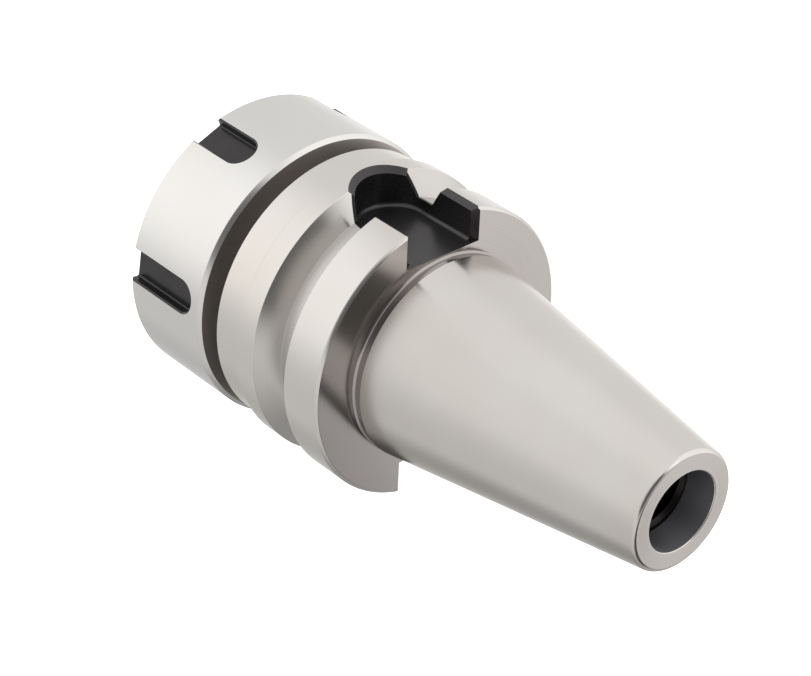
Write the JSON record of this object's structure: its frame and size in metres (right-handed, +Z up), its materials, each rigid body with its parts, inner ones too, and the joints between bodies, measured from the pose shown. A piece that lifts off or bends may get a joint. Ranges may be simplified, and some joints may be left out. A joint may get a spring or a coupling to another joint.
{
  "type": "collet chuck holder",
  "caption": "Steel tool holder with a steep taper shank, a grooved flange with drive keyways, and a slotted nut that clamps round tool shanks in a spring collet.",
  "frame": {"origin": "centre of the nut's front face, on the axis that the nut, flange and taper share", "axes": "+Z up that axis, from the nut to the small end of the taper; +X through the middle of one keyway, the other keyway is at -X"},
  "size_m": [0.063, 0.063, 0.1272],
  "materials": {
    "holder_steel": "fine ground, satin, with dark milled keyways",
    "nut_steel": "fine turned, bright satin",
    "collet_steel": "ground"
  },
  "bodies": {
    "holder": {"holder_body": "holder_steel"},
    "collet": {"collet": "collet_steel"},
    "nut": {"clamping_nut": "nut_steel"}
  },
  "joints": [
    {"name": "collet_slide", "type": "slide", "parent": "holder", "child": "collet", "axis": [0, 0, -1], "range_m": [0, 0.009]},
    {"name": "nut_turn", "type": "hinge", "parent": "collet", "child": "nut", "pos_m": [0, 0, 0.0115], "axis": [0, 0, -1], "range_deg": [0, 2159]}
  ],
  "couplings": [
    {"joint": "collet_slide", "follows": "nut_turn", "m_per_rad": 0.00023873}
  ]
}
